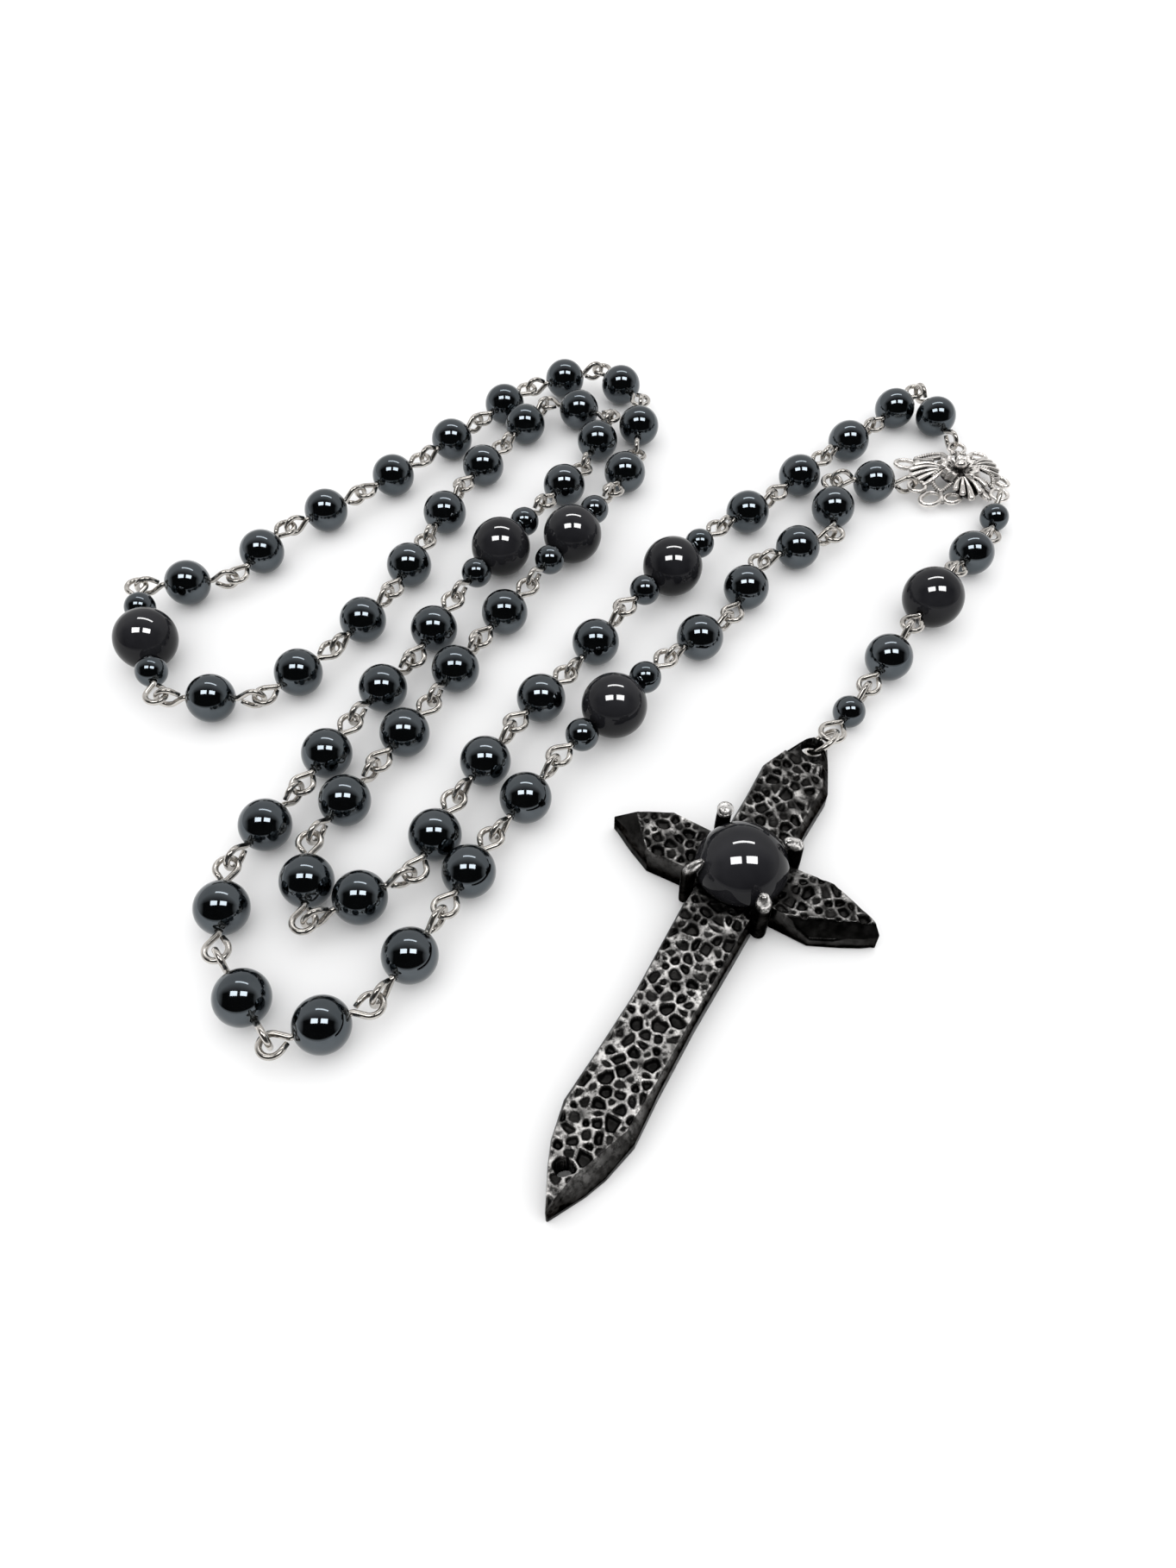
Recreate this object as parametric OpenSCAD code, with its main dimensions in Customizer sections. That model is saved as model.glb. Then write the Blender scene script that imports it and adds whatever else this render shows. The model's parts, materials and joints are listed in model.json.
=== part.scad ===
// Bead rosary laid on a table: wire-linked stone beads, a three-way
// centrepiece, and a sword-shaped cross with a round cabochon.
// Millimetres. +X right, +Y to the far side, +Z up, table at Z = 0.

/* [Beads] */
// Diameter of the Hail Mary beads
ave_d = 6; // [4:0.5:10]
// Diameter of the onyx beads
onyx_d = 8; // [6:0.5:12]
// Diameter of the small spacer beads
small_d = 4; // [3:0.5:6]
// Diameter of the hole through every bead
bore_d = 0.84; // [0.8:0.02:1.2]

/* [Wire] */
// Diameter of the pin wire inside the beads
stem_d = 0.68; // [0.5:0.02:0.76]
// Diameter of the wire in the eyes
eye_wire_d = 0.72; // [0.5:0.02:0.8]
// Radius of an eye, to the middle of its wire
eye_r = 1.25; // [1:0.05:1.6]
// Straight wire between a bead and its eye
neck = 0.55; // [0.3:0.05:1.5]
// How far inside an eye the next wire pulls off centre
pull = 0.2; // [0:0.05:0.3]

/* [Centrepiece] */
// Position of its middle
centre_x = 53.7; // [40:0.1:70]
// Position of its middle
centre_y = 40.9; // [30:0.1:55]
// Turn of the stamping
centre_turn = 8; // [-60:1:60]
// Distance of the outer loops from the middle
loop_out = 6.8; // [5:0.1:9]
// Height of the outer loops above the table
loop_z = 1.7; // [1:0.1:3]

/* [Cross] */
// Thickness of the cross
cross_t = 3.6; // [2:0.1:6]
// Middle of the stone to the upper point
up_len = 22.6; // [15:0.1:35]
// Middle of the stone to the lower point
down_len = 41.5; // [25:0.5:60]
// Middle of the stone to the point of a side arm
side_len = 16; // [10:0.5:30]
// Half the width of the upright
upright_w = 3.9; // [2:0.1:6]
// Radius of the hole near the lower point
low_hole_r = 0.95; // [0.6:0.05:2]
// Radius of the hole near the upper point
top_hole_r = 1.4; // [1:0.05:1.6]
// Radius of the cabochon
stone_r = 5.1; // [3:0.1:7]
// Radius of the bail, to the middle of its wire
bail_r = 2.05; // [1.8:0.05:2.6]

/* [Hidden] */
$fn = 48;
steel_tone = [0.80, 0.79, 0.77];
silver_tone = [0.62, 0.60, 0.58];
hematite_tone = [0.23, 0.25, 0.28];
onyx_tone = [0.04, 0.04, 0.05];
iron_tone = [0.13, 0.13, 0.13];
// the middle of the whole thing is moved onto the origin by this much
home = [-0.4, -1.0];

// Direction of each pin along the two strands, in degrees, as the chain
// was laid down: from the centrepiece out to the far bend and back.
turns_a = [
    110, 225, 225, 225, 225, 230,
    235, 235, 240, 250, 210, 95, 60, 60, 65, 55, 60,
    70, 85, 125, 205, 230, 230, 225, 220, 240, 195, 290,
];
turns_b = [
    185, 265, 210, 245, 225, 230,
    235, 245, 240, 205, 125, 95, 60, 65, 60, 65, 60,
    60, 70, 160, 240, 240, 250, 250, 240, 225, 185,
];
// Direction of each pin from the centrepiece down to the cross.
turns_tail = [250, 232, 234, 234, 234];

ave_r = ave_d / 2;
onyx_r = onyx_d / 2;
small_r = small_d / 2;
stem_r = stem_d / 2;
wire_r = eye_wire_d / 2;
touch = 0.05;
reach = neck + wire_r + eye_r;
ave_half = ave_r + reach;
pater_half = onyx_r + small_d + 2 * touch + reach;

function toward(a) = [cos(a), sin(a)];
function spot(a) = [centre_x, centre_y]
    + loop_out * toward(a + centre_turn);
start_a = spot(72);
start_b = spot(192);
start_tail = spot(312);

// A unit is one pin with its beads. Units 5, 16 and 27 are the pater
// units: an onyx bead with a small bead at each side.
function is_pater(i) = i == 5 || i == 16 || i == 27;
function half_of(i) = is_pater(i) ? pater_half : ave_half;
// Odd units have eyes that lie flat, even units have upright eyes.
function is_flat(i) = i % 2 == 1;

// Height of a unit's two eyes. Onyx beads lift their own pin, and the
// pins beside them slope to meet it.
function near_z(i) =
    i == 0 ? 2.1 : i == 1 ? 3.5 : i == 2 ? 2.8 :
    is_pater(i) ? onyx_r :
    is_pater(i - 1) ? 3.6 : is_pater(i - 2) ? 2.7 :
    is_pater(i + 1) ? 2.4 : is_pater(i + 2) ? 3.3 : ave_r;
function far_z(i) =
    is_pater(i) ? onyx_r : 2 * ave_r - near_z(i);
function flat_half(i) =
    sqrt(pow(half_of(i), 2) - pow((far_z(i) - near_z(i)) / 2, 2));

// The upright eye's wire stands in the flat eye, pulled off centre.
function joint_step(i, before, after) = is_flat(i)
    ? eye_r * toward(before) + pull * toward(after)
    : pull * toward(before) + eye_r * toward(after);
function near_at(t, start, i, slack) = i == 0
    ? start + (0.35 + eye_r) * toward(t[0])
    : far_at(t, start, i - 1, slack)
        + joint_step(i, t[i - 1], t[i]) + slack;
function far_at(t, start, i, slack) =
    near_at(t, start, i, slack) + 2 * flat_half(i) * toward(t[i]);

// What is left over where the strands meet is shared by all joints.
left_over = far_at(turns_a, start_a, 27, [0, 0])
    - far_at(turns_b, start_b, 26, [0, 0])
    - eye_r * toward(turns_b[26]) + pull * toward(turns_a[27]);
share = left_over / 54;

function turns(s) = s == "a" ? turns_a : turns_b;
function near_eye(s, i) = s == "a"
    ? near_at(turns_a, start_a, i, -share)
    : near_at(turns_b, start_b, i, share);
function unit_middle(s, i) =
    near_eye(s, i) + flat_half(i) * toward(turns(s)[i]);
function unit_z(i) = (near_z(i) + far_z(i)) / 2;
function unit_slope(i) = asin((far_z(i) - near_z(i)) / 2 / half_of(i));

// The tail hangs from the centrepiece: small, ave, onyx, ave, small.
tail_r = [small_r, ave_r, onyx_r, ave_r, small_r];
tail_near_z = [2.1, 2.3, 4.0, 3.7, 1.85];
tail_far_z = [1.95, 3.7, 4.0, 2.3, 2.25];
tail_slack = -0.25;
low_eye_r = 1.4;
function tail_half(k) = tail_r[k] + reach;
function tail_flat(k) = sqrt(pow(tail_half(k), 2)
    - pow((tail_far_z[k] - tail_near_z[k]) / 2, 2));
function tail_near(k) = k == 0
    ? start_tail + (0.35 + eye_r) * toward(turns_tail[0])
    : tail_far(k - 1) + tail_slack * toward(turns_tail[k - 1])
        + eye_r * toward(turns_tail[k]);
function tail_far(k) =
    tail_near(k) + 2 * tail_flat(k) * toward(turns_tail[k]);
function tail_middle(k) =
    tail_near(k) + tail_flat(k) * toward(turns_tail[k]);
function tail_slope(k) =
    asin((tail_far_z[k] - tail_near_z[k]) / 2 / tail_half(k));

// The bail leans through the last eye and through the cross's top hole.
bail_turn = 228;
bail_wire = 0.45;
bail_lean = 40;
tab_z = 2.0;
tab_half = 0.5;
low_hole_at = [-37.3, 0.6];
bail_z = (tail_far_z[4] + tab_z) / 2;
bail_hold = tail_far(4) + 0.2 * toward(bail_turn);
bail_middle = bail_hold + bail_r * toward(bail_turn);
top_hole_at = up_len - 2.3;
cross_turn = 60.5;
top_hole_spot = bail_middle + (bail_r + 0.25) * toward(bail_turn);
cross_spot = top_hole_spot - top_hole_at * toward(cross_turn);

// One open loop of wire, its stem arriving from +X.
module eye(r, flat) {
    rotate([flat ? 0 : 90, 0, 0])
        rotate_extrude(angle = 312)
            translate([r, 0]) circle(wire_r);
}

// A pin: straight wire between two eyes, near eye centre at X = -half.
module pin(half, near_flat, far_flat, far_r) {
    translate([-half + eye_r - 0.1, 0, 0]) rotate([0, 90, 0])
        cylinder(r = stem_r, h = 2 * half - 2 * eye_r + 0.2);
    translate([-half, 0, 0]) eye(eye_r, near_flat);
    translate([half + far_r - eye_r, 0, 0]) rotate([0, 0, 180])
        eye(far_r, far_flat);
}

module bead(r) {
    rotate([0, 90, 0])
        rotate_extrude()
            intersection() {
                circle(r);
                translate([bore_d / 2, -r]) square([r, 2 * r]);
            }
}

module at_home() {
    translate([home[0], home[1], 0]) children();
}

module at_unit(s, i) {
    at_home()
        translate([unit_middle(s, i)[0], unit_middle(s, i)[1], unit_z(i)])
            rotate([0, -unit_slope(i), turns(s)[i]]) children();
}

module unit_pins(s, first, last) {
    for (i = [first : last])
        at_unit(s, i)
            pin(half_of(i), is_flat(i), is_flat(i), eye_r);
}

module unit_aves(s, first, last) {
    for (i = [first : last])
        at_unit(s, i) bead(ave_r);
}

module unit_onyx(s, i) {
    at_unit(s, i) bead(onyx_r);
}

module unit_small(s, i, side) {
    at_unit(s, i)
        translate([side * (onyx_r + touch + small_r), 0, 0])
            bead(small_r);
}

module at_tail(k) {
    at_home()
        translate([
            tail_middle(k)[0], tail_middle(k)[1],
            (tail_near_z[k] + tail_far_z[k]) / 2
        ])
            rotate([0, -tail_slope(k), turns_tail[k]]) children();
}

module tail_pin(k) {
    at_tail(k)
        pin(tail_half(k), false, true, k == 4 ? low_eye_r : eye_r);
}

module tail_bead(k) {
    at_tail(k) bead(tail_r[k]);
}

module bail_shape() {
    at_home()
        translate([bail_middle[0], bail_middle[1], bail_z])
            rotate([0, 0, bail_turn])
                rotate([0, asin((tail_far_z[4] - tab_z) / 2 / bail_r), 0])
                    rotate([90 - bail_lean, 0, 0])
                        rotate_extrude()
                            translate([bail_r, 0]) circle(bail_wire);
}

// Stamped filigree: a flower in the middle, three fans that run down to
// the table, and wire-like scrolls with a pair of loops at each corner.
module fan() {
    for (k = [-2 : 2])
        rotate([0, 0, 9 * k])
            translate([2.4, 0, 2.9])
                rotate([0, 90 + 22 - abs(k), 0])
                    cylinder(r1 = 0.35, r2 = 0.62,
                        h = 5.0 - 0.45 * abs(k));
}

module corner() {
    for (side = [-1, 1]) {
        rotate([0, 0, 18 * side]) translate([loop_out, 0, loop_z])
            rotate_extrude() translate([1.6, 0]) circle(0.45);
        rotate([0, 0, 21 * side]) translate([4.5, 0, 2.0])
            rotate_extrude() translate([1.35, 0]) circle(0.5);
    }
}

module centrepiece_shape() {
    at_home() translate([centre_x, centre_y, 0])
        rotate([0, 0, centre_turn]) {
            translate([0, 0, 2.1]) cylinder(r1 = 3.9, r2 = 3.0, h = 1.3);
            translate([0, 0, 4.1]) sphere(0.95);
            for (k = [0 : 4])
                rotate([0, 0, 72 * k + 18]) translate([1.9, 0, 3.25])
                    sphere(1.3);
            for (k = [0 : 2]) {
                rotate([0, 0, 30 + 120 * k]) fan();
                rotate([0, 0, 90 + 120 * k]) corner();
            }
        }
}

// Distance of the prongs from the middle of the stone, and their radius.
prong_out = 6.15;
prong_r = 0.9;

// The cross lies along X here, its upper point toward +X.
module arm(outline, top) {
    hull() {
        linear_extrude(0.01) polygon(outline);
        translate([0, 0, cross_t - 0.01]) linear_extrude(0.01)
            polygon(top);
    }
}

module cross_plate() {
    w = upright_w;
    arm(
        [[0, -w], [10, -w], [15.5, -w - 0.2], [up_len, -1.3],
         [up_len, 1.3], [15.5, w + 0.2], [10, w], [0, w]],
        [[0, -w + 0.4], [10, -w + 0.4], [15, -w + 0.3],
         [up_len - 0.5, -1], [up_len - 0.5, 1], [15, w - 0.3],
         [10, w - 0.4], [0, w - 0.4]]
    );
    arm(
        [[0, -w], [-18, -w + 0.4], [-32, -w], [-37.5, -2.5],
         [-down_len, 0], [-37.5, 2.2], [-32, w], [-18, w - 0.6], [0, w]],
        [[0, -w + 0.4], [-18, -w + 0.7], [-31, -w + 0.6],
         [-36.5, -2.3], [-down_len + 1.6, 0], [-36.8, 2.1],
         [-32, 3.0],
         [-18, w - 1], [0, w - 0.4]]
    );
    for (side = [-1, 1])
        arm(
            [[-2.8, 0], [-3.0, 9.8 * side], [0.6, side_len * side],
             [3.9, 9.8 * side], [3.6, 0]],
            [[-2.4, 0], [-2.4, 9.2 * side], [0.4, 12.6 * side],
             [0.9, 15 * side], [3.5, 9.4 * side], [3.2, 0]]
        );
}

module cross_shape() {
    at_home() translate([cross_spot[0], cross_spot[1], 0])
        rotate([0, 0, cross_turn])
            difference() {
                cross_plate();
                translate([top_hole_at, 0, -1])
                    cylinder(r = top_hole_r, h = cross_t + 2);
                // the tab is thinned from both sides
                translate([top_hole_at - 1.8, -5, tab_z + tab_half])
                    cube([6, 10, 3]);
                translate([top_hole_at - 1.8, -5, tab_z - tab_half - 3])
                    cube([6, 10, 3]);
                translate([low_hole_at[0], low_hole_at[1], -1])
                    cylinder(r = low_hole_r, h = cross_t + 2);
                for (k = [0 : 3])
                    rotate([0, 0, 45 + 90 * k])
                        translate([prong_out, 0, -1])
                            cylinder(r = prong_r + 0.06, h = cross_t + 2);
            }
}

// Seat under the stone with four prongs that stand beside the cross.
module prong() {
    translate([prong_out, 0, 0.4]) cylinder(r = prong_r, h = 5.8);
    translate([prong_out, 0, 6.1]) rotate([0, -42, 0])
        cylinder(r1 = prong_r - 0.01, r2 = 0.5, h = 2.2);
    translate([prong_out, 0, 6.15]) sphere(prong_r - 0.005);
    translate([4.0, -0.5, cross_t]) cube([2.2, 1, 0.6]);
}

module setting_shape() {
    at_home() translate([cross_spot[0], cross_spot[1], 0])
        rotate([0, 0, cross_turn]) {
            translate([0, 0, cross_t]) difference() {
                cylinder(r = 4.7, h = 0.7);
                translate([0, 0, -1]) cylinder(r = 3.3, h = 3);
            }
            for (k = [0 : 3])
                rotate([0, 0, 45 + 90 * k]) prong();
        }
}

// Round cabochon: a low girdle under a dome.
dome_h = 4.2;
girdle_h = 0.8;
module cabochon_shape() {
    ball = (stone_r * stone_r + dome_h * dome_h) / (2 * dome_h);
    at_home() translate([cross_spot[0], cross_spot[1], cross_t + 0.7])
        union() {
            cylinder(r = stone_r, h = girdle_h);
            translate([0, 0, girdle_h]) intersection() {
                translate([0, 0, dome_h - ball]) sphere(ball);
                cylinder(r = stone_r + 1, h = dome_h + 1);
            }
        }
}

module right_pins() {
    color(steel_tone) {
        unit_pins("a", 2, 5);
        unit_pins("b", 2, 5);
    }
}

module near_pins() {
    color(steel_tone) {
        unit_pins("a", 6, 15);
        unit_pins("b", 6, 15);
    }
}

module far_pins() {
    color(steel_tone) {
        unit_pins("a", 16, 20);
        unit_pins("b", 16, 20);
    }
}

module aves_a_3_5() {
    color(hematite_tone) {
        unit_aves("a", 2, 4);
    }
}

module aves_a_6_15() {
    color(hematite_tone) {
        unit_aves("a", 6, 15);
    }
}

module aves_a_16_19() {
    color(hematite_tone) {
        unit_aves("a", 17, 20);
    }
}

module aves_b_3_5() {
    color(hematite_tone) {
        unit_aves("b", 2, 4);
    }
}

module aves_b_6_15() {
    color(hematite_tone) {
        unit_aves("b", 6, 15);
    }
}

module aves_b_16_19() {
    color(hematite_tone) {
        unit_aves("b", 17, 20);
    }
}

module pater_1_onyx() {
    color(onyx_tone) {
        unit_onyx("a", 5);
    }
}

module pater_1_smalls() {
    color(hematite_tone) {
        unit_small("a", 5, -1);
        unit_small("a", 5, 1);
    }
}

module pater_2_onyx() {
    color(onyx_tone) {
        unit_onyx("a", 16);
    }
}

module pater_2_smalls() {
    color(hematite_tone) {
        unit_small("a", 16, -1);
        unit_small("a", 16, 1);
    }
}

module pater_4_onyx() {
    color(onyx_tone) {
        unit_onyx("b", 16);
    }
}

module pater_4_smalls() {
    color(hematite_tone) {
        unit_small("b", 16, -1);
        unit_small("b", 16, 1);
    }
}

module pater_5_onyx() {
    color(onyx_tone) {
        unit_onyx("b", 5);
    }
}

module pater_5_smalls() {
    color(hematite_tone) {
        unit_small("b", 5, -1);
        unit_small("b", 5, 1);
    }
}

module pins_20() {
    color(steel_tone) {
        unit_pins("a", 21, 21);
        unit_pins("b", 21, 21);
    }
}

module ave_a20() {
    color(hematite_tone) {
        unit_aves("a", 21, 21);
    }
}

module ave_b20() {
    color(hematite_tone) {
        unit_aves("b", 21, 21);
    }
}

module pins_21() {
    color(steel_tone) {
        unit_pins("a", 22, 22);
        unit_pins("b", 22, 22);
    }
}

module ave_a21() {
    color(hematite_tone) {
        unit_aves("a", 22, 22);
    }
}

module ave_b21() {
    color(hematite_tone) {
        unit_aves("b", 22, 22);
    }
}

module pins_22() {
    color(steel_tone) {
        unit_pins("a", 23, 23);
        unit_pins("b", 23, 23);
    }
}

module ave_a22() {
    color(hematite_tone) {
        unit_aves("a", 23, 23);
    }
}

module ave_b22() {
    color(hematite_tone) {
        unit_aves("b", 23, 23);
    }
}

module pins_23() {
    color(steel_tone) {
        unit_pins("a", 24, 24);
        unit_pins("b", 24, 24);
    }
}

module ave_a23() {
    color(hematite_tone) {
        unit_aves("a", 24, 24);
    }
}

module ave_b23() {
    color(hematite_tone) {
        unit_aves("b", 24, 24);
    }
}

module pins_24() {
    color(steel_tone) {
        unit_pins("a", 25, 25);
        unit_pins("b", 25, 25);
    }
}

module ave_a24() {
    color(hematite_tone) {
        unit_aves("a", 25, 25);
    }
}

module ave_b24() {
    color(hematite_tone) {
        unit_aves("b", 25, 25);
    }
}

module pins_25() {
    color(steel_tone) {
        unit_pins("a", 26, 26);
        unit_pins("b", 26, 26);
    }
}

module ave_a25() {
    color(hematite_tone) {
        unit_aves("a", 26, 26);
    }
}

module ave_b25() {
    color(hematite_tone) {
        unit_aves("b", 26, 26);
    }
}

module pater_3_pin() {
    color(steel_tone) {
        unit_pins("a", 27, 27);
    }
}

module pater_3_onyx() {
    color(onyx_tone) {
        unit_onyx("a", 27);
    }
}

module pater_3_small_a() {
    color(hematite_tone) {
        unit_small("a", 27, -1);
    }
}

module pater_3_small_b() {
    color(hematite_tone) {
        unit_small("a", 27, 1);
    }
}

module pins_1() {
    color(steel_tone) {
        unit_pins("a", 0, 0);
        unit_pins("b", 0, 0);
    }
}

module ave_a1() {
    color(hematite_tone) {
        unit_aves("a", 0, 0);
    }
}

module ave_b1() {
    color(hematite_tone) {
        unit_aves("b", 0, 0);
    }
}

module pins_2() {
    color(steel_tone) {
        unit_pins("a", 1, 1);
        unit_pins("b", 1, 1);
    }
}

module ave_a2() {
    color(hematite_tone) {
        unit_aves("a", 1, 1);
    }
}

module ave_b2() {
    color(hematite_tone) {
        unit_aves("b", 1, 1);
    }
}

module centrepiece() {
    color(silver_tone) {
        centrepiece_shape();
    }
}

module tail_pin_1() {
    color(steel_tone) {
        tail_pin(0);
    }
}

module tail_pin_2() {
    color(steel_tone) {
        tail_pin(1);
    }
}

module tail_pin_3() {
    color(steel_tone) {
        tail_pin(2);
    }
}

module tail_pin_4() {
    color(steel_tone) {
        tail_pin(3);
    }
}

module tail_pin_5() {
    color(steel_tone) {
        tail_pin(4);
    }
}

module tail_small_1() {
    color(hematite_tone) {
        tail_bead(0);
    }
}

module tail_ave_2() {
    color(hematite_tone) {
        tail_bead(1);
    }
}

module tail_onyx_3() {
    color(onyx_tone) {
        tail_bead(2);
    }
}

module tail_ave_4() {
    color(hematite_tone) {
        tail_bead(3);
    }
}

module tail_small_5() {
    color(hematite_tone) {
        tail_bead(4);
    }
}

module bail() {
    color(steel_tone) {
        bail_shape();
    }
}

module cross() {
    color(iron_tone) {
        cross_shape();
    }
}

module setting() {
    color(iron_tone) {
        setting_shape();
    }
}

module cabochon() {
    color(onyx_tone) {
        cabochon_shape();
    }
}

right_pins();
near_pins();
far_pins();
aves_a_3_5();
aves_a_6_15();
aves_a_16_19();
aves_b_3_5();
aves_b_6_15();
aves_b_16_19();
pater_1_onyx();
pater_1_smalls();
pater_2_onyx();
pater_2_smalls();
pater_4_onyx();
pater_4_smalls();
pater_5_onyx();
pater_5_smalls();
pins_20();
ave_a20();
ave_b20();
pins_21();
ave_a21();
ave_b21();
pins_22();
ave_a22();
ave_b22();
pins_23();
ave_a23();
ave_b23();
pins_24();
ave_a24();
ave_b24();
pins_25();
ave_a25();
ave_b25();
pater_3_pin();
pater_3_onyx();
pater_3_small_a();
pater_3_small_b();
pins_1();
ave_a1();
ave_b1();
pins_2();
ave_a2();
ave_b2();
centrepiece();
tail_pin_1();
tail_pin_2();
tail_pin_3();
tail_pin_4();
tail_pin_5();
tail_small_1();
tail_ave_2();
tail_onyx_3();
tail_ave_4();
tail_small_5();
bail();
cross();
setting();
cabochon();
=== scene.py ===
"""A bead rosary laid on a white table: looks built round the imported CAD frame.

Lengths are millimetres until a mesh is made, and +Z is up.
"""
import json
import math

import bpy
import numpy as np
from mathutils import Euler, Matrix, Vector

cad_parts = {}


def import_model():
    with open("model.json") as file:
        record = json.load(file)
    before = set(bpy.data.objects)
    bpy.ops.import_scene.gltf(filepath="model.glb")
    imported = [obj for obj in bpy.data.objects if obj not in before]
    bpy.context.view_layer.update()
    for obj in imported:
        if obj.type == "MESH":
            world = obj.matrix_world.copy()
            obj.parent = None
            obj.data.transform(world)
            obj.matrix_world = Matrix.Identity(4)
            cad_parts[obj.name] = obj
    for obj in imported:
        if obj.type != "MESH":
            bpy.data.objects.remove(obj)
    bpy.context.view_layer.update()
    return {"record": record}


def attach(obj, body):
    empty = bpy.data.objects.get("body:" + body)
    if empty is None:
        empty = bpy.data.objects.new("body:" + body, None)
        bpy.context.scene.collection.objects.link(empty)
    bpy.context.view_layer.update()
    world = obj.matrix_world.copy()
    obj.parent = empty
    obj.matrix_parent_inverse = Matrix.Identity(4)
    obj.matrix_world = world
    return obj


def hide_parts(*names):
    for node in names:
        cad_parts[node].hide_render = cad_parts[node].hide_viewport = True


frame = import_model()
body_of = {
    node: body
    for body, nodes in frame["record"]["behaviour"]["bodies"].items()
    for node in nodes
}

# ---------------- camera
camera_data = bpy.data.cameras.new("camera")
camera_data.lens = 26.14
camera_data.sensor_width = 36
camera_data.clip_start = 0.005
camera = bpy.data.objects.new("camera", camera_data)
bpy.context.scene.collection.objects.link(camera)
camera.location = (-0.0014, -0.0990, 0.1075)
camera.rotation_euler = (math.radians(37.58), 0, 0)
bpy.context.scene.camera = camera
bpy.context.scene.view_settings.view_transform = "Standard"

# ---------------- the route
HOME = np.array([-0.4, -1.0])
CENTRE = np.array([53.7, 40.9])
CENTRE_TURN = 8
# The centrepiece's three holding loops: where each one points, how far out it is,
# how high, and the gap from its middle to the wire that hooks into it.
HELD_AT = {"a": 72, "b": 192, "tail": 312}
LOOP_OUT = 6.8
LOOP_Z = 1.7
HELD_GAP = 0.35
AVE_R = 3.0
ONYX_R = 4.0
SMALL_R = 2.0
BORE_R = 0.42
WIRE_R = 0.36
# From an eye's middle to the middle of its wire, from that wire to the bead, from an
# eye's middle to its neighbour's wire, and from bead to bead in a pater unit.
EYE_R = 1.25
NECK = 0.55
PULL = 0.2
TOUCH = 0.05
REACH = NECK + WIRE_R + EYE_R
AVE_HALF = AVE_R + REACH
PATER_HALF = ONYX_R + 2 * SMALL_R + 2 * TOUCH + REACH
# Heading of every unit in degrees, going out from the centrepiece.
TURNS = {
    "a": [110, 225, 225, 225, 225, 230,
          235, 235, 240, 250, 210, 95, 60, 60, 65, 55, 60,
          70, 85, 125, 205, 230, 230, 225, 220, 240, 195, 290],
    "b": [185, 265, 210, 245, 225, 230,
          235, 245, 240, 205, 125, 95, 60, 65, 60, 65, 60,
          60, 70, 160, 240, 240, 250, 250, 240, 225, 185],
}
TURNS_TAIL = [250, 232, 234, 234, 234]
PATERS = (5, 16, 27)
LAST_A = len(TURNS["a"]) - 1
LAST_B = len(TURNS["b"]) - 1


def toward(angle):
    return np.array([math.cos(math.radians(angle)), math.sin(math.radians(angle))])


def first_eye(held, turn):
    """Middle of the eye that hooks into one of the centrepiece's loops."""
    loop = CENTRE + LOOP_OUT * toward(HELD_AT[held] + CENTRE_TURN)
    return loop + (HELD_GAP + EYE_R) * toward(turn)


def half_of(i):
    return PATER_HALF if i in PATERS else AVE_HALF


def near_z(i):
    """Height of a unit's near eye: chains rise toward the large onyx beads."""
    if i in PATERS:
        return ONYX_R
    first = {0: 2.1, 1: 3.5, 2: 2.8}
    if i in first:
        return first[i]
    steps = {-1: 3.6, -2: 2.7, 1: 2.4, 2: 3.3}
    for step, z in steps.items():
        if i + step in PATERS:
            return z
    return AVE_R


def far_z(i):
    return ONYX_R if i in PATERS else 2 * AVE_R - near_z(i)


def flat_half(i):
    return math.sqrt(half_of(i) ** 2 - ((far_z(i) - near_z(i)) / 2) ** 2)


def walk(strand, slack):
    """Near eye and far eye of every unit of one strand."""
    turns = TURNS[strand]
    near = first_eye(strand, turns[0])
    places = []
    for i, turn in enumerate(turns):
        if i:
            before, after = toward(turns[i - 1]), toward(turn)
            if i % 2:
                step = EYE_R * before + PULL * after
            else:
                step = PULL * before + EYE_R * after
            near = places[-1][1] + step + slack
        places.append((near, near + 2 * flat_half(i) * toward(turn)))
    return places


# The two strands have to meet, so what is left over is shared by every link.
nothing = np.zeros(2)
left_over = (
    walk("a", nothing)[LAST_A][1] - walk("b", nothing)[LAST_B][1]
    - EYE_R * toward(TURNS["b"][LAST_B]) + PULL * toward(TURNS["a"][LAST_A])
)
share = left_over / (LAST_A + LAST_B + 1)
ROUTE = {"a": walk("a", -share), "b": walk("b", share)}

TAIL_R = [SMALL_R, AVE_R, ONYX_R, AVE_R, SMALL_R]
TAIL_NEAR_Z = [2.1, 2.3, 4.0, 3.7, 1.85]
TAIL_FAR_Z = [1.95, 3.7, 4.0, 2.3, 2.25]
TAIL_SLACK = -0.25
LOW_EYE_R = 1.4


def walk_tail():
    """Near eye and far eye of the tail's five units."""
    places = []
    for k, turn in enumerate(TURNS_TAIL):
        half = TAIL_R[k] + REACH
        flat = math.sqrt(half ** 2 - ((TAIL_FAR_Z[k] - TAIL_NEAR_Z[k]) / 2) ** 2)
        if k == 0:
            near = first_eye("tail", turn)
        else:
            near = (places[-1][1] + TAIL_SLACK * toward(TURNS_TAIL[k - 1])
                    + EYE_R * toward(turn))
        places.append((near, near + 2 * flat * toward(turn)))
    return places


TAIL = walk_tail()


def pose_matrix(middle, z, slope, turn):
    """Place of a piece drawn along X: its middle, its climb and its heading."""
    place = Matrix.Translation((middle[0] + HOME[0], middle[1] + HOME[1], z))
    return place @ Euler((0, -slope, math.radians(turn)), "XYZ").to_matrix().to_4x4()


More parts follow.
